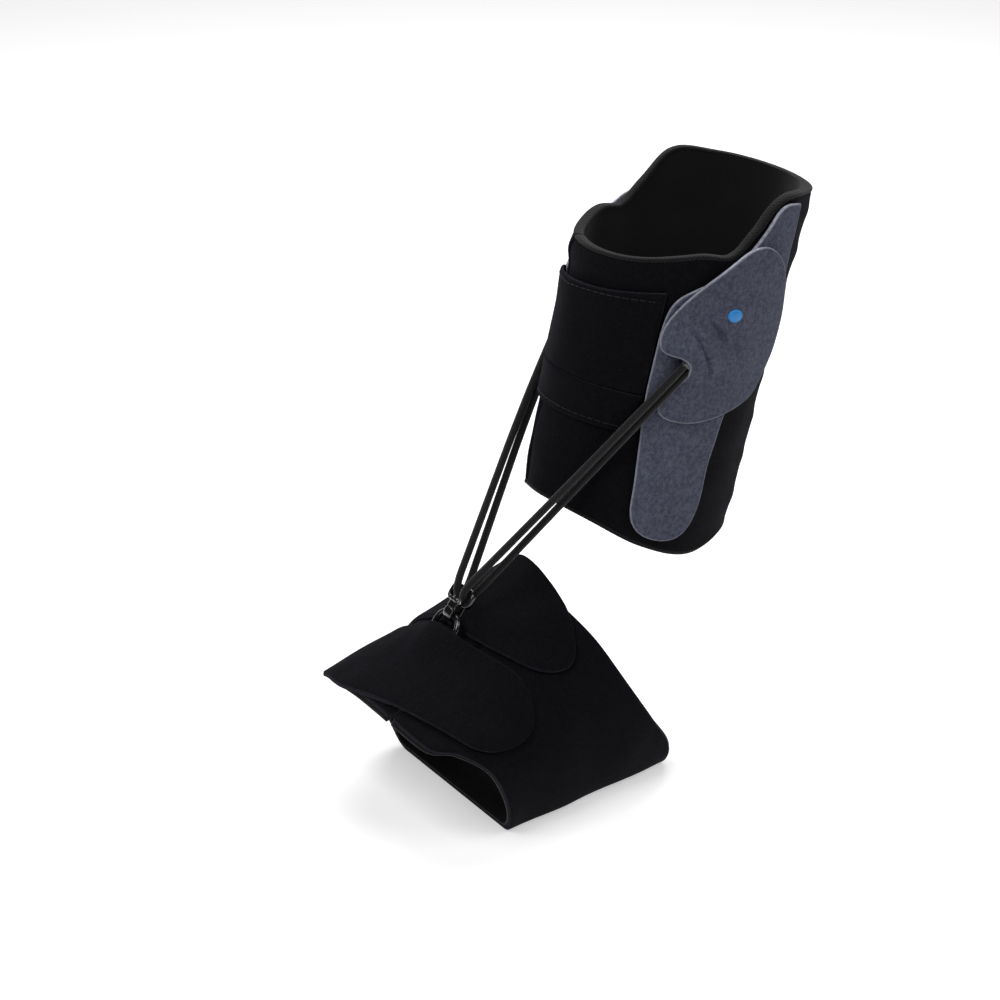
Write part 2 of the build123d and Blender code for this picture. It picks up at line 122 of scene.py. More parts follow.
def foot(p, out):
    """Flat points (station, distance round from the ridge) to the foot's surface, in mm."""
    p = np.asarray(p, float)
    x = p[..., 0]
    q = (p[..., 1] + ROUND) % (2 * ROUND) - ROUND
    out = np.broadcast_to(np.asarray(out, float), x.shape)
    top = RIDGE_HEIGHT - RIDGE_SLOPE * (x - RIDGE_REF)
    side = np.sign(q) + (q == 0)
    wide = np.where(side > 0, OUTER_WIDTH + OUTER_TAPER * x, INNER_WIDTH + INNER_TAPER * x)
    away = np.abs(q)
    a = np.clip(away / UPPER_ARC, 0, 1) * math.pi / 2
    b = np.clip((away - UPPER_ARC) / CORNER_ARC, 0, 1) * math.pi / 2
    c = np.clip((away - UPPER_ARC - CORNER_ARC) / SOLE_ARC, 0, 1)
    on_top = away <= UPPER_ARC
    in_corner = away <= UPPER_ARC + CORNER_ARC
    y_top = RIDGE_Y * side + (wide - RIDGE_Y * side + out) * np.sin(a)
    z_top = SIDE_HEIGHT + (top - SIDE_HEIGHT + out) * np.cos(a)
    y_corner = wide - SOLE_CORNER + (SOLE_CORNER + out) * np.cos(b)
    z_corner = SIDE_HEIGHT - (SIDE_HEIGHT + out) * np.sin(b)
    y_sole = (wide - SOLE_CORNER) * (1 - c)
    y = side * np.where(on_top, y_top, np.where(in_corner, y_corner, y_sole))
    z = FLOOR + np.where(on_top, z_top, np.where(in_corner, z_corner, -out))
    return np.stack([x, y, z], -1)


def on_foot(x, y):
    """Flat foot point of a place seen from above, on the straps' outer face."""
    side = 1 if y > RIDGE_Y else -1
    wide = OUTER_WIDTH + OUTER_TAPER * x if side > 0 else INNER_WIDTH + INNER_TAPER * x
    reach = wide - RIDGE_Y * side + FOOT_STRAP[1]
    return x, side * UPPER_ARC * math.asin(min(1.0, abs(y - RIDGE_Y) / reach)) / (math.pi / 2)


# ---------------------------------------------------------------- flat outlines
def rounded(points, times=4):
    """Closed outline that rounds off a polygon's corners. A point given twice keeps a tighter corner."""
    p = np.asarray(points, float)
    for _ in range(times):
        after = np.roll(p, -1, axis=0)
        p = np.stack([0.75 * p + 0.25 * after, 0.25 * p + 0.75 * after], 1).reshape(-1, 2)
    return p


def spaced(points, step, closed=True):
    p = np.asarray(points, float)
    if closed:
        p = np.vstack([p, p[:1]])
    lengths = np.hypot(*np.diff(p, axis=0).T)
    run = np.concatenate([[0], np.cumsum(lengths)])
    count = max(8, int(round(run[-1] / step)))
    at = np.linspace(0, run[-1], count + 1)[: count if closed else count + 1]
    return np.stack([np.interp(at, run, p[:, i]) for i in (0, 1)], -1)


def distance_to(points, line, closed=True):
    """Distance from each point to a line of points."""
    a = np.asarray(line, float)
    b = np.roll(a, -1, axis=0) if closed else a[1:]
    a = a if closed else a[:-1]
    best = np.full(len(points), 1e9)
    for start in range(0, len(a), 120):
        s, e = a[start:start + 120], b[start:start + 120]
        d = e - s
        rel = points[:, None, :] - s[None]
        t = np.clip((rel * d).sum(-1) / np.maximum((d * d).sum(-1), 1e-12), 0, 1)
        gap = rel - t[..., None] * d
        best = np.minimum(best, np.sqrt((gap * gap).sum(-1)).min(1))
    return best


def inside(points, outline):
    x, y = points[:, 0], points[:, 1]
    found = np.zeros(len(points), bool)
    for (x0, y0), (x1, y1) in zip(outline, np.roll(outline, -1, axis=0)):
        crosses = (y0 > y) != (y1 > y)
        if crosses.any():
            at = (x1 - x0) * (y - y0) / (y1 - y0 + 1e-12) + x0
            found ^= crosses & (x < at)
    return found


# ---------------------------------------------------------------- sheets
def sheet_mesh(name, outline, wrap, layer, spacing=1.6, edge=0.8, wall=0.35, lift=None, thin=None):
    """A sheet with thickness and a soft edge, cut to a flat outline and wrapped on leg or foot.

    layer is the (inner, outer) height. edge is how far in from the cut the top is rounded, and
    wall is the share of the thickness that the cut edge stands up. lift adds height to both faces,
    and thin raises the inner face alone.
    """
    rim = spaced(outline, min(spacing, 1.2))
    if 0.5 * np.sum(rim[:, 0] * np.roll(rim[:, 1], -1) - np.roll(rim[:, 0], -1) * rim[:, 1]) < 0:
        rim = rim[::-1]
    low, high = rim.min(0), rim.max(0)
    rows = []
    for row, y in enumerate(np.arange(low[1], high[1], spacing * 0.87)):
        xs = np.arange(low[0] + (row % 2) * spacing / 2, high[0], spacing)
        rows.append(np.stack([xs, np.full_like(xs, y)], -1))
    grid = np.vstack(rows)
    grid = grid[inside(grid, rim)]
    tangent = np.roll(rim, -1, axis=0) - np.roll(rim, 1, axis=0)
    inward = np.stack([-tangent[:, 1], tangent[:, 0]], -1) / np.hypot(*tangent.T)[:, None]
    rings = [edge * share for share in (0.12, 0.35, 0.7)] + [edge + spacing * 0.25]
    points = [rim]
    kept = rim
    for ring in rings:
        band = rim + inward * ring
        band = band[inside(band, rim)]
        band = band[distance_to(band, rim) > ring * 0.93]
        points.append(band)
        kept = ring
    grid = grid[distance_to(grid, rim) > kept + spacing * 0.45]
    flat = np.vstack(points + [grid])
    ring_edges = [(i, (i + 1) % len(rim)) for i in range(len(rim))]
    made = delaunay_2d_cdt([Vector(p) for p in flat], ring_edges, [], 1, 1e-4)
    flat = np.array([tuple(v) for v in made[0]], float)
    triangles = np.array([f for f in made[2] if len(f) == 3])
    original = {}
    for index, sources in enumerate(made[3]):
        for source in sources:
            original[source] = index
    border = [original[i] for i in range(len(rim))]
    away = distance_to(flat, rim)
    away[border] = 0
    x = np.clip(away / edge, 0, 1)
    share = wall + (1 - wall) * np.sqrt(1 - (1 - x) ** 2)
    extra = lift(flat) if lift else 0
    inner = layer[0] + 0 * away + (thin(flat) if thin else 0)
    top = wrap(flat, inner + (layer[1] - inner) * share + extra)
    bottom = wrap(flat, inner + extra)
    count = len(flat)
    side = []
    for a, b in zip(border, border[1:] + border[:1]):
        side.append((a, a + count, b + count))
        side.append((a, b + count, b))
    faces = [tuple(t) for t in triangles] + [tuple(t[::-1] + count) for t in triangles] + side
    mesh = bpy.data.meshes.new(name)
    mesh.from_pydata((np.vstack([top, bottom]) * MM).tolist(), [], faces)
    mesh.update()
    values = mesh.attributes.new("edge_mm", "FLOAT", "POINT")
    values.data.foreach_set("value", np.concatenate([away, away * 0]).astype(np.float32))
    flatly = mesh.uv_layers.new(name="flat_mm")
    loops = np.zeros(len(mesh.loops), int)
    mesh.loops.foreach_get("vertex_index", loops)
    flatly.data.foreach_set("uv", np.vstack([flat, flat])[loops].astype(np.float32).ravel())
    recalc(mesh)
    obj = bpy.data.objects.new(name, mesh)
    bpy.context.scene.collection.objects.link(obj)
    return obj


def recalc(mesh):
    """Turns the faces outwards and smooths them."""
    work = bmesh.new()
    work.from_mesh(mesh)
    bmesh.ops.recalc_face_normals(work, faces=work.faces)
    for face in work.faces:
        face.smooth = True
    work.to_mesh(mesh)
    work.free()


def dress(obj, material, body=None, nodes=()):
    """Gives a piece its material and slot, hangs it from the body that it rides on and hides the CAD nodes
    that it stands for.
    """
    obj.data.materials.clear()
    obj.data.materials.append(material)
    if body:
        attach(obj, body)
    if nodes:
        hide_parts(*nodes)
    return obj


# ---------------------------------------------------------------- materials
def material(name):
    made = bpy.data.materials.new(name)
    made.use_nodes = True
    return made, made.node_tree, made.node_tree.nodes["Principled BSDF"]


def node(tree, kind, links=(), **values):
    """Adds a node, sets its plain values and links {input: socket}."""
    made = tree.nodes.new(kind)
    for key, value in values.items():
        setattr(made, key, value)
    for key, value in dict(links).items():
        if isinstance(value, bpy.types.NodeSocket):
            tree.links.new(value, made.inputs[key])
        else:
            made.inputs[key].default_value = value
    return made


def noise(tree, size_mm, detail=3.0, rough=0.55, stretch=(1, 1, 1)):
    where = node(tree, "ShaderNodeTexCoord").outputs["Object"]
    if stretch != (1, 1, 1):
        where = node(tree, "ShaderNodeMapping", {"Vector": where, "Scale": stretch}).outputs[0]
    links = {"Vector": where, "Scale": 1 / (size_mm * MM), "Detail": detail, "Roughness": rough}
    return node(tree, "ShaderNodeTexNoise", links).outputs["Fac"]


def spread(tree, value, low, high, out_low=0.0, out_high=1.0):
    return node(tree, "ShaderNodeMapRange", {"Value": value, "From Min": low, "From Max": high,
                                             "To Min": out_low, "To Max": out_high}).outputs[0]


def maths(tree, kind, a, b):
    return node(tree, "ShaderNodeMath", {0: a, 1: b}, operation=kind).outputs[0]


def mixed(tree, share, a, b):
    made = node(tree, "ShaderNodeMix", data_type="RGBA")
    for index, value in ((0, share), (6, a), (7, b)):
        if isinstance(value, bpy.types.NodeSocket):
            tree.links.new(value, made.inputs[index])
        else:
            made.inputs[index].default_value = (*value, 1.0)
    return made.outputs[2]


def bump(tree, shader, height, depth_mm, strength=1.0, under=None):
    links = {"Height": height, "Distance": depth_mm * MM, "Strength": strength}
    if under is not None:
        links["Normal"] = under
    made = node(tree, "ShaderNodeBump", links)
    tree.links.new(made.outputs[0], shader.inputs["Normal"])
    return made.outputs[0]


def attribute(tree, name):
    return node(tree, "ShaderNodeAttribute", attribute_name=name).outputs["Fac"]


def velour(name, dark, light, rim, sheen, sheen_tint, pile_mm=0.34, rim_mm=0.45, mottle=(0.36, 0.66)):
    """Brushed loop cloth: fine pile, mottled tone, nap marks and a paler cut edge."""
    made, tree, shader = material(name)
    pile = noise(tree, pile_mm, 4.0, 0.7)
    tuft = noise(tree, pile_mm * 3.2, 3.0, 0.6)
    nap = noise(tree, 16.0, 3.0, 0.55, stretch=(1, 1, 0.45))
    both = maths(tree, "ADD", maths(tree, "MULTIPLY", pile, 0.5), maths(tree, "MULTIPLY", tuft, 0.5))
    tone = spread(tree, both, *mottle)
    tone = maths(tree, "ADD", maths(tree, "MULTIPLY", tone, 0.62), maths(tree, "MULTIPLY", nap, 0.38))
    colour = mixed(tree, tone, dark, light)
    cut = spread(tree, attribute(tree, "edge_mm"), 0.0, rim_mm, 1.0, 0.0)
    cut = maths(tree, "MULTIPLY", cut, spread(tree, noise(tree, 1.1), 0.25, 0.6, 0.35, 1.0))
    tree.links.new(mixed(tree, cut, colour, rim), shader.inputs["Base Color"])
    shader.inputs["Roughness"].default_value = 0.92
    shader.inputs["Specular IOR Level"].default_value = 0.1
    shader.inputs["Sheen Weight"].default_value = sheen
    shader.inputs["Sheen Roughness"].default_value = 0.45
    shader.inputs["Sheen Tint"].default_value = (*sheen_tint, 1.0)
    soft = bump(tree, shader, tuft, 0.5, 0.6)
    bump(tree, shader, pile, 0.3, 0.75, soft)
    return made


def woven(name, dark, light, pitch_mm, rough=0.8, depth=0.25, sheen=0.15):
    """Plain weave in the flat directions of a sheet, or a braid along a cord."""
    made, tree, shader = material(name)
    where = node(tree, "ShaderNodeTexCoord").outputs["UV"]
    slanted = node(tree, "ShaderNodeMapping", {"Vector": where, "Rotation": (0, 0, math.radians(45)),
                                              "Scale": (1 / pitch_mm,) * 3}).outputs[0]
    bands = {"Vector": slanted, "Scale": 0.32, "Distortion": 0.4, "Detail": 1.0}
    one = node(tree, "ShaderNodeTexWave", bands, bands_direction="X").outputs["Fac"]
    two = node(tree, "ShaderNodeTexWave", bands, bands_direction="Y").outputs["Fac"]
    weave = maths(tree, "MULTIPLY", one, two)
    fibre = noise(tree, 0.25, 3.0, 0.6)
    tone = maths(tree, "ADD", maths(tree, "MULTIPLY", weave, 0.6), maths(tree, "MULTIPLY", fibre, 0.4))
    tree.links.new(mixed(tree, tone, dark, light), shader.inputs["Base Color"])
    shader.inputs["Roughness"].default_value = rough
    shader.inputs["Sheen Weight"].default_value = sheen
    shader.inputs["Specular IOR Level"].default_value = 0.16
    bump(tree, shader, tone, depth, 0.9)
    return made


def moulded(name, colour, worn, rough=(0.18, 0.34), coat=0.0):
    """Moulded plastic or metal with fine texture and rubbed patches."""
    made, tree, shader = material(name)
    grain = noise(tree, 0.5, 4.0, 0.6)
    patch = noise(tree, 4.0, 3.0, 0.6)
    tree.links.new(mixed(tree, spread(tree, patch, 0.4, 0.75), colour, worn), shader.inputs["Base Color"])
    tree.links.new(spread(tree, patch, 0.3, 0.7, *rough), shader.inputs["Roughness"])
    shader.inputs["Coat Weight"].default_value = coat
    bump(tree, shader, grain, 0.03, 0.35)
    return made


BLACK = velour("black_velour", (0.0006, 0.0006, 0.001), (0.0058, 0.0058, 0.0088), (0.022, 0.022, 0.03),
               0.03, (0.6, 0.62, 0.85), pile_mm=0.4, mottle=(0.42, 0.62))
GREY = velour("grey_velour", (0.034, 0.038, 0.06), (0.145, 0.154, 0.212), (0.42, 0.43, 0.5),
              0.22, (0.75, 0.78, 1.0), pile_mm=0.5, rim_mm=0.7, mottle=(0.41, 0.61))
INSIDE = woven("black_lining", (0.0015, 0.0015, 0.002), (0.007, 0.007, 0.009), 0.9, depth=0.12)
HOOKS = woven("hook_tape", (0.006, 0.006, 0.007), (0.03, 0.03, 0.034), 1.5, depth=0.6)
WEBBING = woven("black_webbing", (0.0015, 0.0015, 0.002), (0.008, 0.008, 0.01), 1.1)
BRAID = woven("black_elastic", (0.0015, 0.0015, 0.002), (0.017, 0.017, 0.021), 0.75, depth=0.22, sheen=0.3)
THREAD = woven("black_thread", (0.003, 0.003, 0.004), (0.017, 0.017, 0.021), 0.3, rough=0.6)
PLASTIC = moulded("black_plastic", (0.004, 0.004, 0.005), (0.011, 0.011, 0.013), rough=(0.1, 0.24), coat=0.6)
STEEL = moulded("steel_pin", (0.42, 0.42, 0.43), (0.55, 0.55, 0.56))
STEEL.node_tree.nodes["Principled BSDF"].inputs["Metallic"].default_value = 1.0
BLUE = moulded("blue_marker", (0.012, 0.27, 0.72), (0.02, 0.36, 0.82), rough=(0.3, 0.45))


# ---------------------------------------------------------------- curves shared by several pieces
def through(points, count=400):
    """Smooth line through points, whose first number rises or falls all the way."""
    p = np.asarray(points, float)
    p = np.vstack([2 * p[0] - p[1], p, 2 * p[-1] - p[-2]])
    line = []
    for a, b, c, d in zip(p, p[1:], p[2:], p[3:]):
        t = np.linspace(0, 1, count // (len(p) - 3), endpoint=False)[:, None]
        line.append(0.5 * (2 * b + (c - a) * t + (2 * a - 5 * b + 4 * c - d) * t ** 2
                           + (3 * b - a - 3 * c + d) * t ** 3))
    return np.vstack(line + [p[-2][None]])


def look_up(line, value):
    order = np.argsort(line[:, 0])
    return np.interp(value, line[order, 0], line[order, 1])


# The cuff's edges are (forwards, height) in the shin's side view, and the wrap's are (height, forwards).
CUFF_TOP = through([(60, 126.5), (43, 126.5), (19, 134), (6, 135.5), (-3, 146), (-13, 159), (-30, 161),
                    (-60, 161)])
CUFF_BOTTOM = through([(60, 27.5), (43, 27.5), (15, 18), (-10, 15), (-34, 22), (-60, 27)])
BAND_REAR = through([(-90, -6), (-71, -3), (-53, 8), (-33, 20), (-12, 31), (0, 38), (12, 41)])
BAND_FRONT = through([(-90, 77), (-76, 79), (-60, 84), (-46, 91), (-38, 101), (-35, 111), (-20, 116),
                      (12, 116)])
CUFF_SLIT = -21.8 * DEGREE_MM
WRAP_SLIT = 14.8
HALF_SLIT = 0.8


def cuff_outline(extra=0.0):
    """Flat outline of the cuff, from one side of its slit round to the other."""
    across = np.linspace(CUFF_SLIT + HALF_SLIT, CUFF_SLIT + 360 * DEGREE_MM - HALF_SLIT, 220)
    u = (SHIN_DEPTH + CUFF[1]) * np.cos(np.radians(across / DEGREE_MM))
    low = np.stack([across, look_up(CUFF_BOTTOM, u) - extra], -1)
    high = np.stack([across, look_up(CUFF_TOP, u) + extra], -1)
    return np.vstack([low, high[::-1]])


def wrap_edge(line, q, out):
    """Station of a wrap's edge at each distance round the foot, where the side view's line meets it."""
    x = np.full_like(q, 60.0)
    for _ in range(40):
        z = foot(np.stack([x, q], -1), out)[:, 2]
        x = 0.6 * x + 0.4 * look_up(line, z)
    return x


def wrap_outline(extra=0.0):
    q = np.linspace(WRAP_SLIT + HALF_SLIT, WRAP_SLIT + 2 * ROUND - HALF_SLIT, 260)
    rear = np.stack([wrap_edge(BAND_REAR, q, BAND[1]) - extra, q], -1)
    front = np.stack([wrap_edge(BAND_FRONT, q, BAND[1]) + extra, q], -1)
    return np.vstack([rear, front[::-1]])


def bell(value, middle, width):
    return np.exp(-((value - middle) / width) ** 2)


def step(value, low, high):
    t = np.clip((value - low) / (high - low), 0, 1)
    return t * t * (3 - 2 * t)


def cuff_lift(p):
    """Soft waves that every layer of the cuff shares."""
    return 0.45 * cuff_swell(p)


def cuff_padding(p):
    """The cuff's padding swells where no strap or wing presses on it."""
    turn = np.abs((p[..., 0] / DEGREE_MM + 180) % 360 - 180)
    free_front = 1 - step(turn, 40, 51)
    free_back = step(turn, 128, 142)
    front = 1.3 * bell(p[..., 1], 121.5, 4.2) + 1.0 * bell(p[..., 1], 46, 13)
    ripple = 0.5 * bell((p[..., 1] - 33 + 0.08 * p[..., 0]) % 17, 8.5, 3.5)
    return cuff_lift(p) + free_front * front + free_back * (0.5 + ripple)


def wrap_lift(p):
    """Soft waves of the wrap's layers, which die away at the flat sole."""
    q = (p[..., 1] + ROUND) % (2 * ROUND) - ROUND
    return 0.4 * wrap_swell(p) * (1 - step(np.abs(q), 78, 92))


def wrap_padding(p):
    """The wrap draws into shallow folds below the straps."""
    q = (p[..., 1] + ROUND) % (2 * ROUND) - ROUND
    side = step(np.abs(q), 52, 60) * (1 - step(np.abs(q), 84, 92))
    folds = 0.55 * np.sin((p[..., 0] * 0.9 + q * 0.35) / 5.5) * side
    return wrap_lift(p) + folds


# ---------------------------------------------------------------- cuff
def cuff_pieces():
    shell = sheet_mesh("cuff_outer_wrap", cuff_outline(), leg, CUFF, spacing=1.7, edge=1.5, wall=0.3,
                       lift=cuff_padding)
    dress(shell, BLACK, "cuff", ["cuff_shell"])
    lining = sheet_mesh("cuff_padded_lining", cuff_outline(0.7), leg, LINING, spacing=2.2, edge=0.8, wall=0.3,
                        lift=cuff_lift)
    dress(lining, INSIDE, "cuff", ["cuff_lining"])


STRAP_ROOT = 52.3 * DEGREE_MM
CUFF_HINGE = -7.3


def cuff_strap(name, outline):
    """One closing strap with its peeling tab, drawn as a single length whose tab part is made thinner; it is
    not bent at the peel line.
    """
    def tab_is_thin(p):
        return TAB_THINNING * (1 - step(p[..., 0], -11.0, -8.5))

    strap = sheet_mesh(name + "_cloth", outline, leg, STRAP, spacing=1.5, edge=0.9, wall=0.4, lift=cuff_lift,
                       thin=tab_is_thin)
    dress(strap, BLACK, nodes=[name, name + "_tab"])
    middle = outline[:, 1].mean()
    bend_at_peel(strap, leg, (CUFF_HINGE + 2.0, middle), (CUFF_HINGE - 4.0, middle))


def bend_at_peel(obj, wrap, start, end):
    start = wrap(np.array(start), STRAP[0]) * MM
    end = wrap(np.array(end), STRAP[0]) * MM
    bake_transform(obj)


def hook_pad(name, outline, wrap, body, node_name, height, lift):
    """Hook patch under a tab: the tab's outline, drawn in by about 2.5 mm all round."""
    inner = outline.mean(0)
    low, high = outline.min(0), outline.max(0)
    shrink = 1 - 5.0 / (high - low)
    pad = sheet_mesh(name, inner + (outline - inner) * shrink, wrap, height, spacing=1.6, edge=0.3, wall=0.5,
                     lift=lift)
    dress(pad, HOOKS, body, [node_name])


UPPER_STRAP = rounded([(STRAP_ROOT, 78), (STRAP_ROOT, 78), (STRAP_ROOT, 118.6), (STRAP_ROOT, 118.6),
                       (14, 114), (-6, 112.5), (-22, 112.5), (-30.6, 112.5), (-30.6, 78), (-22, 78), (0, 78)])
LOWER_STRAP = rounded([(STRAP_ROOT, 62), (STRAP_ROOT, 62), (STRAP_ROOT, 77.6), (STRAP_ROOT, 77.6), (0, 77.6),
                       (-16, 77.6), (-24, 77.6), (-24, 62), (-16, 62), (0, 62)])
UPPER_TAB = rounded([(-9, 78), (-9, 78), (-9, 112.5), (-9, 112.5), (-22, 112.5), (-30.6, 112.5), (-30.6, 78),
                     (-22, 78)])
LOWER_TAB = rounded([(-9, 62), (-9, 62), (-9, 77.6), (-9, 77.6), (-16, 77.6), (-24, 77.6), (-24, 62),
                     (-16, 62)])


# ---------------------------------------------------------------- wings
def turned(points):
    """Points given as (degrees round the shin, height), as flat millimetres."""
    return [(angle * DEGREE_MM, height) for angle, height in points]


WING_BASE_LINE = rounded(turned([
    (104, 158), (98, 147), (87, 135), (76, 126.5), (65, 121.5), (56, 116), (53.4, 106), (53.4, 92),
    (53.4, 76),
    (56, 60), (58.5, 42), (60, 27), (71, 20.5), (89, 20.5), (97.5, 30), (97.5, 46), (98, 64), (100, 80),
    (115, 92), (121, 112), (121, 140), (118, 158), (118, 158)]), 3)
WING_TOP_LINE = rounded(turned([
    (111, 137), (100, 142), (89, 140), (80, 133), (69, 124), (59, 114.5), (53.8, 106), (53.8, 98.5),
    (58, 96.0),
    (66, 96), (70.5, 93), (70, 87), (63.5, 82), (60.5, 77), (61, 71.5), (72, 69), (86, 70.5), (103, 76),
    (118, 83), (125, 95), (128, 112), (120, 128)]), 3)
NOTCH = np.array([71.5 * DEGREE_MM, 95.5])
RIDGES = [turned([(69, 108), (75, 102.5), (81, 95), (83, 90)]), turned([(77, 112.5), (83, 108), (88, 102.5)])]


def ridge_height(p, line):
    """A slit whose lower lip stands up: sharp on its upper side, sloping away below."""
    a = np.asarray(line, float)
    flat = p.reshape(-1, 2)
    away = distance_to(flat, a, closed=False)
    along = a[-1] - a[0]
    rel = flat - a[0]
    side = along[0] * rel[:, 1] - along[1] * rel[:, 0]
    run = np.clip((rel @ along) / (along @ along), 0, 1)
    fade = np.sin(np.pi * np.clip(run * 0.96 + 0.02, 0, 1)) ** 0.6
    lip = np.where(side > 0, np.exp(-away / 2.2), np.exp(-(away / 0.55) ** 2))
    groove = np.where(side > 0, 0, 0.45 * np.exp(-((away - 1.1) / 0.6) ** 2))
    height = lip - groove
    return (fade * height).reshape(p.shape[:-1])


def top_patch_lift(p):
    """The patch domes over the cord's clamp, lifts along its front edge and carries two raised slits."""
    dome = 4.7 * np.exp(-(((p[..., 0] - NOTCH[0]) / 8.5) ** 2 + ((p[..., 1] - NOTCH[1]) / 8.5) ** 2))
    front = 0.9 * (1 - step(p[..., 0] / DEGREE_MM, 54, 72)) * step(p[..., 1], 90, 100)
    slits = sum(2.2 * ridge_height(p, line) for line in RIDGES)
    return cuff_lift(p) + dome + front + slits


def wing_pieces(side, word):
    """A wing is drawn for the outer side. The inner one is its mirror image across the shin."""
    def wrap(p, out):
        made = leg(p, out)
        return made * np.array([1, side, 1])

    base = sheet_mesh(word + "_wing_long_patch", WING_BASE_LINE, wrap, WING_BASE, spacing=1.3, edge=0.5,
                      wall=0.6, lift=cuff_lift)
    dress(base, GREY, "cuff", [word + "_wing_base"])
    top = sheet_mesh(word + "_wing_hand_patch", WING_TOP_LINE, wrap, WING_TOP, spacing=0.7, edge=0.5,
                     wall=0.6, lift=top_patch_lift)
    dress(top, GREY, "cuff", [word + "_wing_top"])
    middle = WING_BASE_LINE.mean(0)
    pad_line = middle + (WING_BASE_LINE - middle) * 0.9
    pad = sheet_mesh(word + "_wing_hooks", pad_line, wrap, WING_PAD, spacing=2.5, edge=0.3, wall=0.5,
                     lift=cuff_lift)
    dress(pad, HOOKS, "cuff", [word + "_wing_hook_pad"])
    marker(word, wrap)


def marker(word, wrap):
    """Small domed marker with a rolled rim."""
    place = np.array([88 * DEGREE_MM, 114.0])
    profile = [(0.0, 0.75), (0.9, 0.72), (1.7, 0.6), (2.1, 0.42), (2.25, 0.5), (2.45, 0.45), (2.6, 0.2),
               (2.6, -0.1)]
    turns = 40
    flat, height, faces = [], [], []
    for radius, up in profile:
        for k in range(turns):
            a = 2 * math.pi * k / turns
            flat.append(place + radius * np.array([math.cos(a), math.sin(a)]))
            height.append(up)
    for ring in range(len(profile) - 1):
        for k in range(turns):
            a, b = ring * turns + k, ring * turns + (k + 1) % turns
            faces.append((a, b, b + turns, a + turns))
    last = (len(profile) - 1) * turns
    faces.append(tuple(range(last, last + turns)))
    flat = np.array(flat)
    base = WING_TOP[1] + top_patch_lift(place[None])[0]
    points = wrap(flat, base + np.array(height)) * MM
    mesh = bpy.data.meshes.new(word + "_marker")
    mesh.from_pydata(points.tolist(), [], faces)
    work = bmesh.new()
    work.from_mesh(mesh)
    bmesh.ops.remove_doubles(work, verts=work.verts, dist=1e-6)
    work.to_mesh(mesh)
    work.free()
    recalc(mesh)
    obj = bpy.data.objects.new(word + "_marker", mesh)
    bpy.context.scene.collection.objects.link(obj)
    dress(obj, BLUE, "cuff", [word + "_marker_dot"])


# ---------------------------------------------------------------- foot wrap
def wrap_pieces():
    band = sheet_mesh("foot_outer_wrap", wrap_outline(), foot, BAND, spacing=1.7, edge=1.3, wall=0.35,
                      lift=wrap_padding)
    dress(band, BLACK, "foot_wrap", ["foot_band"])
    lining = sheet_mesh("foot_inner_lining", wrap_outline(0.6), foot, LINING, spacing=2.2, edge=0.6, wall=0.3,
                        lift=wrap_lift)
    dress(lining, INSIDE, "foot_wrap", ["foot_lining"])


def seen_from_above(points):
    return [on_foot(x, y) for x, y in points]


REAR_STRAP = rounded(seen_from_above([
    (31, -38), (31, -38), (34, -8), (36, 10), (36.5, 27), (43, 39), (58, 36.5), (69, 21), (72.3, 8),
    (73.5, -10), (74, -38), (74, -38)]))
FRONT_STRAP = rounded(seen_from_above([
    (81, -38), (81, -38), (81.5, -19), (80, -4), (78.5, 4), (75.5, 12), (71, 23), (64, 37), (69, 50),
    (93, 51), (104, 34), (112, 8), (118.5, -14), (113, -38), (113, -38)]))
REAR_TAB = rounded(seen_from_above([(36, 11), (36, 11), (36.5, 27), (43, 39), (58, 36.5), (69, 21), (71, 11),
                                    (71, 11)]))
FRONT_TAB = rounded(seen_from_above([(79, 11), (79, 11), (71, 23), (64, 37), (69, 50), (93, 51), (104, 34),
                                     (110, 11), (110, 11)]))


def over_the_ring(p):
    """The front strap rises where it crosses the ring's webbing, and puckers beside it."""
    place = np.array(on_foot(79.5, -2.0))
    ahead, aside = p[..., 0] - place[0], p[..., 1] - place[1]
    rise = 5.2 * np.exp(-(ahead / 10.0) ** 2 - (aside / 11.0) ** 2)
    pucker = 0.5 * np.cos(aside / 2.6) * np.exp(-((ahead - 8) / 9.0) ** 2 - (aside / 13.0) ** 2)
    return wrap_lift(p) + rise + pucker


def foot_strap(name, outline, station, lift):
    """One instep strap with its peeling tab. station is where along the foot its peel line is taken."""
    def tab_is_thin(p):
        start = on_foot(station, 9.0)[1]
        return TAB_THINNING * step(p[..., 1], start, start + 2.5)

    strap = sheet_mesh(name + "_cloth", outline, foot, FOOT_STRAP, spacing=1.4, edge=0.9, wall=0.45,
                       lift=lift, thin=tab_is_thin)
    dress(strap, BLACK, nodes=[name, name + "_tab"])
    bend_at_peel(strap, foot, on_foot(station, 6.5), on_foot(station, 12.5))


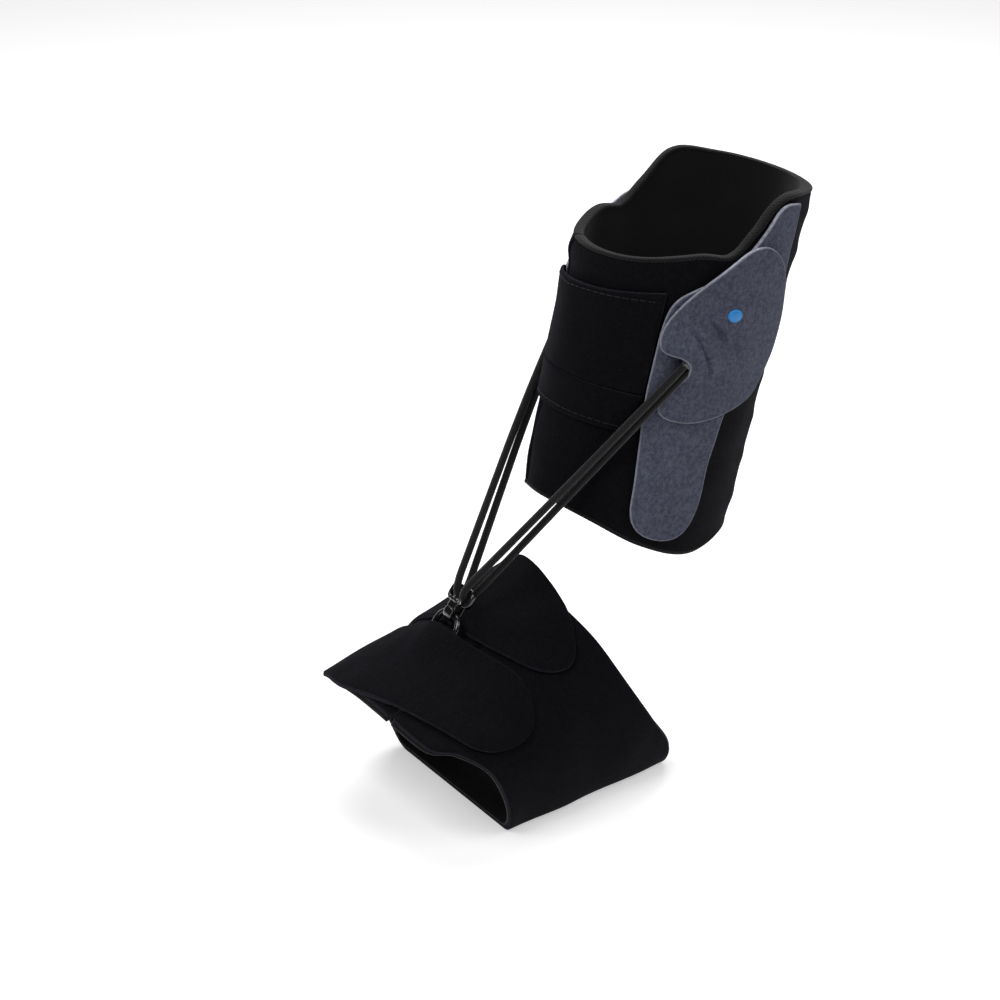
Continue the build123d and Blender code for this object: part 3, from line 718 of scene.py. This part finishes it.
# ---------------------------------------------------------------- swept and turned solids
def swept(name, path, up, half_up, half_side, power=2.0, closed=False, ends=1.0, turns=20):
    """A soft-edged bar along a path in mm. half_up lies along up, and half_side across it.

    power 2 is an ellipse and higher is squarer. ends is how round the two ends are, as a share.
    """
    path = np.asarray(path, float)
    up = np.broadcast_to(np.asarray(up, float), path.shape)
    if closed:
        tangent = np.roll(path, -1, axis=0) - np.roll(path, 1, axis=0)
    else:
        tangent = np.gradient(path, axis=0)
    tangent = tangent / np.linalg.norm(tangent, axis=1)[:, None]
    side = np.cross(tangent, up)
    side = side / np.linalg.norm(side, axis=1)[:, None]
    up = np.cross(side, tangent)
    scale = np.ones(len(path))
    if not closed:
        reach = min(half_up, half_side) * ends if np.isscalar(half_up) else ends
        angles = np.radians([80, 60, 35, 15])
        push = reach * np.sin(angles)[:, None]
        path = np.vstack([path[:1] - tangent[:1] * push, path, path[-1:] + tangent[-1:] * push[::-1]])
        side = np.vstack([np.repeat(side[:1], 4, 0), side, np.repeat(side[-1:], 4, 0)])
        up = np.vstack([np.repeat(up[:1], 4, 0), up, np.repeat(up[-1:], 4, 0)])
        scale = np.concatenate([np.cos(angles), scale, np.cos(angles)[::-1]])
        half_up = np.pad(np.broadcast_to(half_up, len(path) - 8), 4, mode="edge")
        half_side = np.pad(np.broadcast_to(half_side, len(path) - 8), 4, mode="edge")
    a = np.linspace(0, 2 * math.pi, turns, endpoint=False)
    round_a = np.sign(np.cos(a)) * np.abs(np.cos(a)) ** (2 / power)
    round_b = np.sign(np.sin(a)) * np.abs(np.sin(a)) ** (2 / power)
    tall = (np.broadcast_to(half_up, scale.shape) * scale)[:, None, None]
    wide = (np.broadcast_to(half_side, scale.shape) * scale)[:, None, None]
    rings = path[:, None] + up[:, None] * tall * round_a[:, None] + side[:, None] * wide * round_b[:, None]
    rows = len(path)
    faces, texture = [], []
    run = np.concatenate([[0], np.cumsum(np.linalg.norm(np.diff(path, axis=0), axis=1))])
    girth = 2 * math.pi * float(np.mean(half_up) + np.mean(half_side)) / 2
    for row in range(rows if closed else rows - 1):
        after = (row + 1) % rows
        far = run[after] if after else run[-1] + 1.0
        for k in range(turns):
            m = (k + 1) % turns
            faces.append((row * turns + k, row * turns + m, after * turns + m, after * turns + k))
            v0, v1 = girth * k / turns, girth * (k + 1) / turns
            texture += [(run[row], v0), (run[row], v1), (far, v1), (far, v0)]
    if not closed:
        for row in (0, rows - 1):
            faces.append(tuple(row * turns + k for k in range(turns)))
            texture += [(run[row], girth * k / turns) for k in range(turns)]
    mesh = bpy.data.meshes.new(name)
    mesh.from_pydata((rings.reshape(-1, 3) * MM).tolist(), [], faces)
    mesh.uv_layers.new(name="flat_mm").data.foreach_set("uv", np.array(texture, np.float32).ravel())
    recalc(mesh)
    obj = bpy.data.objects.new(name, mesh)
    bpy.context.scene.collection.objects.link(obj)
    return obj


def lathed(name, centre, profile, turns=28):
    """A profile of (radius, place along Y) turned round an axis that runs across the foot."""
    points, faces = [], []
    for radius, y in profile:
        for k in range(turns):
            a = 2 * math.pi * k / turns
            points.append(centre + radius * (math.cos(a) * ACROSS + math.sin(a) * PULL) + np.array([0, y, 0]))
    rows = len(profile)
    for row in range(rows):
        after = (row + 1) % rows
        for k in range(turns):
            m = (k + 1) % turns
            faces.append((row * turns + k, row * turns + m, after * turns + m, after * turns + k))
    mesh = bpy.data.meshes.new(name)
    mesh.from_pydata((np.array(points) * MM).tolist(), [], faces)
    recalc(mesh)
    obj = bpy.data.objects.new(name, mesh)
    bpy.context.scene.collection.objects.link(obj)
    return obj


def joined(name, parts):
    """One object from several, each keeping its own shape."""
    work = bmesh.new()
    for part in parts:
        work.from_mesh(part.data)
    mesh = bpy.data.meshes.new(name)
    work.to_mesh(mesh)
    work.free()
    for part in parts:
        bpy.data.objects.remove(part)
    obj = bpy.data.objects.new(name, mesh)
    bpy.context.scene.collection.objects.link(obj)
    return obj


def arc(centre, radius, start, end, count=12):
    a = np.radians(np.linspace(start, end, count))
    return [(centre[0] + radius * math.cos(t), centre[1] + radius * math.sin(t)) for t in a]


# ---------------------------------------------------------------- bindings and stitches
def binding(name, outline, wrap, body, half_side, height=2.2, half_up=2.05, lift=None):
    """A rolled edge tape over the cut edges of lining and outer wrap."""
    flat = spaced(outline, 2.0, closed=False)
    base = height + (lift(flat) if lift else 0)
    path = wrap(flat, base)
    up = wrap(flat, base + 1) - path
    tape = swept(name, path, up, half_up, half_side, power=2.6, turns=18)
    dress(tape, WEBBING, body)


def stitches(name, line, wrap, height, lift=None, pitch=3.0, length=2.1, thick=0.17):
    """A row of thread stitches, each a short bead that dips in at both ends."""
    flat = spaced(line, 0.3, closed=False)
    run = np.concatenate([[0], np.cumsum(np.linalg.norm(np.diff(flat, axis=0), axis=1))])
    parts = []
    for start in np.arange(0.6, run[-1] - length, pitch):
        at = np.linspace(start, start + length, 7)
        p = np.stack([np.interp(at, run, flat[:, i]) for i in (0, 1)], -1)
        bow = 0.16 * np.sin(np.linspace(0, math.pi, 7)) - 0.05
        base = height + bow + (lift(p) if lift else 0)
        path = wrap(p, base)
        parts.append(swept("stitch", path, wrap(p, base + 1) - path, thick, thick, turns=8))
    return joined(name, parts)


def edge_tapes():
    outline = cuff_outline()
    half = len(outline) // 2
    binding("cuff_bottom_binding", outline[:half], leg, "cuff", 1.0, lift=cuff_padding)
    binding("cuff_top_binding", outline[half:], leg, "cuff", 1.0, lift=cuff_padding)


def thread_rows():
    top = stitches("upper_strap_seam", [(32, 114.6), (14, 112.4), (-6, 110.6), (-27, 110.6)], leg, STRAP[1],
                   cuff_lift)
    dress(top, THREAD)
    bend_at_peel(top, leg, (CUFF_HINGE + 2.0, 95), (CUFF_HINGE - 4.0, 95))
    low = stitches("lower_strap_seam", [(32, 64.2), (0, 64.2), (-20, 64.2)], leg, STRAP[1], cuff_lift)
    dress(low, THREAD)
    bend_at_peel(low, leg, (CUFF_HINGE + 2.0, 70), (CUFF_HINGE - 4.0, 70))
    for side, word in ((1, "lateral"), (-1, "medial")):
        def wrap(p, out):
            return leg(p, out) * np.array([1, side, 1])
        tack = stitches(word + "_wing_tack", turned([(77.5, 31), (82, 31.6)]), wrap, WING_BASE[1], cuff_lift,
                        pitch=1.5, length=1.1, thick=0.2)
        dress(tack, THREAD, "cuff")


# ---------------------------------------------------------------- ring, webbing, snap hook
ORIGIN = np.array([79.046, -2.0, -12.92])
PULL_TURN = math.radians(55.0)
ACROSS = np.array([math.sin(PULL_TURN), 0, math.cos(PULL_TURN)])
PULL = np.array([-math.cos(PULL_TURN), 0, math.sin(PULL_TURN)])
SIDEWAYS = np.array([0.0, 1.0, 0.0])
SEAT, JAW_MIDDLE, PIN_Z, EYE_Z = 8.5, 2.35, 13.85, 19.1
PIN = ORIGIN + JAW_MIDDLE * ACROSS + PIN_Z * PULL


def on_hook(points):
    """Points (across, sideways, along the pull) from the ring's base bar, to mm in the row frame."""
    p = np.asarray(points, float)
    return ORIGIN + p[:, :1] * ACROSS + p[:, 1:2] * SIDEWAYS + p[:, 2:] * PULL


def loop_path(half, low, high, low_radius, high_radius):
    """Closed rounded oblong in the plane of the ring."""
    flat = (arc((half - low_radius, low + low_radius), low_radius, -90, 0)
            + arc((half - high_radius, high - high_radius), high_radius, 0, 90)
            + arc((-half + high_radius, high - high_radius), high_radius, 90, 180)
            + arc((-half + low_radius, low + low_radius), low_radius, 180, 270))
    flat = spaced(flat, 0.8)
    return on_hook([(0, y, z) for y, z in flat])


def ring_piece():
    ring = swept("d_ring", loop_path(7.0, 0.0, SEAT, 2.0, 5.5), ACROSS, 1.2, 1.2, closed=True, turns=24)
    dress(ring, PLASTIC, "foot_wrap", ["ring"])


def webbing_piece():
    slope = math.atan(RIDGE_SLOPE)
    line = [(4.6, -2.05), (2.4, -2.05)] + arc((0, 0), 2.05, -90, -395, 40)
    line = spaced(line, 0.5, closed=False)
    x = line[:, 0] * math.cos(slope) + line[:, 1] * math.sin(slope)
    z = -line[:, 0] * math.sin(slope) + line[:, 1] * math.cos(slope)
    path = ORIGIN + np.stack([x, 0 * x, z], -1)
    tape = swept("ring_webbing", path, SIDEWAYS, 3.8, 0.5, power=5.0, ends=0.4, turns=28)
    dress(tape, WEBBING, "foot_wrap", ["ring_loop"])


def hook_pieces():
    """The body is a jaw, a frame whose top bar is the cords' eye, and two ears that hold the gate's pin."""
    jaw = [(JAW_MIDDLE, 9.9), (JAW_MIDDLE, 9.2)]
    jaw += arc((0, SEAT), JAW_MIDDLE, 0, -180, 22)
    jaw += [(-JAW_MIDDLE, 10.0), (-JAW_MIDDLE, 12.4)]
    jaw += arc((-1.0, 12.5), 1.35, 180, 90, 6) + [(0.3, PIN_Z)]
    jaw = on_hook([(x, 0, z) for x, z in spaced(jaw, 0.4, closed=False)])
    parts = [swept("jaw", jaw, SIDEWAYS, 2.5, 0.75, power=4.0, turns=24, ends=0.9)]
    frame_line = loop_path(6.6, 13.45, EYE_Z, 1.6, 2.2)
    depth = np.clip((frame_line - ORIGIN) @ PULL - 17.5, 0, 1.0)
    rails = swept("frame", frame_line, ACROSS, 1.3, 0.85 + 0.4 * depth, power=3.0, closed=True, turns=24)
    parts.append(rails)
    for side in (1, -1):
        ear = on_hook([(x, side * 3.5, PIN_Z) for x in np.linspace(0.2, 2.3, 8)])
        parts.append(swept("ear", ear, SIDEWAYS, 0.78, 1.0, power=3.0, turns=20, ends=1.0))
    body = joined("snap_hook_body", parts)
    dress(body, PLASTIC, "foot_wrap", ["hook_body"])
    leaf = on_hook([(JAW_MIDDLE, 0, z) for z in np.linspace(10.75, 13.0, 12)])
    leaf = swept("leaf", leaf, SIDEWAYS, 2.35, 0.48, power=4.0, turns=20, ends=0.7)
    barrel = lathed("barrel", PIN, [(0.6, -2.45), (0.85, -2.5), (1.0, -2.3), (1.0, -0.5), (0.92, -0.3),
                                    (0.92, 0.3), (1.0, 0.5), (1.0, 2.3), (0.85, 2.5), (0.6, 2.45)])
    gate = joined("snap_hook_gate", [leaf, barrel])
    dress(gate, PLASTIC, "hook_gate", ["hook_gate"])
    pin = lathed("gate_hinge_pin", PIN, [(0.001, -4.38), (0.3, -4.38), (0.5, -4.2), (0.5, -2.6), (0.44, -2.5),
                                         (0.5, -2.4), (0.5, 4.2), (0.3, 4.38), (0.001, 4.38)])
    dress(pin, STEEL, "foot_wrap", ["gate_pin"])


# ---------------------------------------------------------------- elastic cords
ROUTES = {
    "lateral": [(-3.91, 39.17, 94.62), (16.0, 31.7, 72.67), (72.19, -0.2, 2.32), (67.45, -0.2, -1.35),
                (13.47, 31.7, 70.72), (-6.28, 39.17, 92.47)],
    "medial": [(-3.91, -39.17, 94.62), (16.0, -31.7, 72.67), (72.22, -3.92, 2.29), (67.47, -3.92, -1.38),
               (13.47, -31.7, 70.72), (-6.28, -39.17, 92.47)],
}
CORD = 3.0


def cord_line(route):
    """The route as a smooth curve, held straight up to 6 diameters from the hook's eye."""
    points = [np.array(p) for p in route]
    before = points[2] + (points[1] - points[2]) * 6 * CORD / np.linalg.norm(points[1] - points[2])
    after = points[3] + (points[4] - points[3]) * 6 * CORD / np.linalg.norm(points[4] - points[3])
    points = points[:2] + [before] + points[2:4] + [after] + points[4:]
    curve = bpy.data.curves.new("route", "CURVE")
    curve.dimensions = "3D"
    curve.resolution_u = 24
    spline = curve.splines.new("NURBS")
    spline.points.add(len(points) - 1)
    for place, point in zip(spline.points, points):
        place.co = (*(point * MM), 1.0)
    spline.order_u = 3
    spline.use_endpoint_u = True
    obj = bpy.data.objects.new("route", curve)
    bpy.context.scene.collection.objects.link(obj)
    bpy.context.view_layer.update()
    mesh = bpy.data.meshes.new_from_object(obj)
    line = np.array([tuple(v.co) for v in mesh.vertices])
    bpy.data.objects.remove(obj)
    return line


def cord_pieces():
    for word, route in ROUTES.items():
        line = cord_line(route)
        up = np.cross(np.gradient(line, axis=0), SIDEWAYS)
        tube = swept(word + "_elastic_cord", line / MM, up, CORD / 2, CORD / 2, ends=0.05, turns=20)
        dress(tube, BRAID, nodes=[word + "_cord"])
        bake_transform(tube)
        clamp(word, np.array(route))


def clamp(word, route):
    """Crimped sleeve that holds both ends of a folded cord, in the wing's notch."""
    apart = route[0] - route[-1]
    along = route[0] + route[-1] - route[1] - route[-2]
    along = along / np.linalg.norm(along)
    middle = (route[0] + route[-1]) / 2 + along * 0.3
    share = np.linspace(0, 1, 30)
    path = [middle + along * t for t in np.linspace(0.2, 5.8, 30)]
    waist = 1.0 - 0.12 * bell(share, 0.3, 0.08) - 0.12 * bell(share, 0.7, 0.08)
    sleeve = swept(word + "_cord_clamp", path, apart, 4.0 * waist, 1.5 * waist, power=3.2, turns=28, ends=0.3)
    dress(sleeve, PLASTIC, "cuff", [word + "_cord_anchor"])


# ---------------------------------------------------------------- build everything
cuff_pieces()
cuff_strap("upper_strap", UPPER_STRAP)
cuff_strap("lower_strap", LOWER_STRAP)
hook_pad("upper_tab_hooks", UPPER_TAB, leg, "upper_tab", "upper_strap_hook_pad", CUFF_TAB_PAD, cuff_lift)
hook_pad("lower_tab_hooks", LOWER_TAB, leg, "lower_tab", "lower_strap_hook_pad", CUFF_TAB_PAD, cuff_lift)
wing_pieces(1, "lateral")
wing_pieces(-1, "medial")
wrap_pieces()
foot_strap("rear_strap", REAR_STRAP, 54, wrap_lift)
foot_strap("front_strap", FRONT_STRAP, 95, over_the_ring)
hook_pad("rear_tab_hooks", REAR_TAB, foot, "rear_tab", "rear_strap_hook_pad", FOOT_TAB_PAD, wrap_lift)
hook_pad("front_tab_hooks", FRONT_TAB, foot, "front_tab", "front_strap_hook_pad", FOOT_TAB_PAD, over_the_ring)
edge_tapes()
thread_rows()
ring_piece()
webbing_piece()
hook_pieces()
cord_pieces()


# ---------------------------------------------------------------- camera, light and floor
CAMERA_TURN, CAMERA_RISE = 33.0, 25.0      # degrees round from the outer side, and above the floor
CAMERA_RIGHT, CAMERA_UP, CAMERA_REACH = -44.8, 22.4, 1200.0
FLOOR_Z, FLOOR_REACH = -0.08098, 3
FLOOR_GLOW, WORLD_LIGHT = 0.47, 0.68
KEY_LIGHT, FILL_LIGHT, RIM_LIGHT = 14.0, 5.0, 9.0


def place_camera():
    turn, rise = math.radians(CAMERA_TURN), math.radians(CAMERA_RISE)
    back = np.array([math.sin(turn) * math.cos(rise), math.cos(turn) * math.cos(rise), math.sin(rise)])
    right = np.array([-math.cos(turn), math.sin(turn), 0.0])
    up = np.cross(back, right)
    place = (CAMERA_RIGHT * right + CAMERA_UP * up + CAMERA_REACH * back) * MM
    data = bpy.data.cameras.new("camera")
    data.lens, data.sensor_width = 108.0, 36.0
    camera = bpy.data.objects.new("camera", data)
    camera.matrix_world = Matrix([[right[i], up[i], back[i], place[i]] for i in range(3)] + [[0, 0, 0, 1]])
    bpy.context.scene.collection.objects.link(camera)
    bpy.context.scene.camera = camera
    return right, back


def area_light(name, place, target, size, power):
    data = bpy.data.lights.new(name, "AREA")
    data.size, data.energy = size, power
    light = bpy.data.objects.new(name, data)
    light.location = place
    light.rotation_euler = (Vector(target) - Vector(place)).to_track_quat("-Z", "Y").to_euler()
    bpy.context.scene.collection.objects.link(light)


def seen_directly(tree):
    """1 for camera, mirror and glass rays, and 0 for light that only falls on things."""
    path = node(tree, "ShaderNodeLightPath")
    first = maths(tree, "MAXIMUM", path.outputs["Is Camera Ray"], path.outputs["Is Glossy Ray"])
    return maths(tree, "MAXIMUM", first, path.outputs["Is Transmission Ray"])


def place_stage(right, back):
    """A pale floor, pale surroundings and three soft lights placed from the camera's directions."""
    mesh = bpy.data.meshes.new("floor")
    corners = [(-FLOOR_REACH, -FLOOR_REACH), (FLOOR_REACH, -FLOOR_REACH), (FLOOR_REACH, FLOOR_REACH),
               (-FLOOR_REACH, FLOOR_REACH)]
    mesh.from_pydata([(x, y, FLOOR_Z) for x, y in corners], [], [(0, 1, 2, 3)])
    floor = bpy.data.objects.new("floor", mesh)
    bpy.context.scene.collection.objects.link(floor)
    made, tree, shader = material("floor_paper")
    shader.inputs["Base Color"].default_value = (0.9, 0.9, 0.9, 1)
    shader.inputs["Roughness"].default_value = 0.9
    shader.inputs["Specular IOR Level"].default_value = 0.1
    shader.inputs["Emission Color"].default_value = (1, 1, 1, 1)
    glow = maths(tree, "MULTIPLY", seen_directly(tree), FLOOR_GLOW)
    tree.links.new(glow, shader.inputs["Emission Strength"])
    floor.data.materials.append(made)
    world = bpy.data.worlds.new("studio")
    bpy.context.scene.world = world
    world.use_nodes = True
    tree = world.node_tree
    seen = seen_directly(tree)
    tree.links.new(maths(tree, "ADD", maths(tree, "MULTIPLY", seen, 0.4), WORLD_LIGHT),
                   tree.nodes["Background"].inputs["Strength"])
    side = Vector(right) * -0.7 + Vector(back) * 0.75 + Vector((0, 0, 1.1))
    area_light("key", side, (0.02, 0, 0.03), 0.9, KEY_LIGHT)
    other = Vector(right) * 0.9 + Vector(back) * 0.5 + Vector((0, 0, 0.8))
    area_light("fill", other, (0.02, 0, 0.03), 0.8, FILL_LIGHT)
    over = Vector(back) * -0.6 + Vector((0, 0, 1.2))
    area_light("rim", over, (0.02, 0, 0.05), 0.8, RIM_LIGHT)


place_stage(*place_camera())
bpy.context.scene.view_settings.view_transform = "Standard"
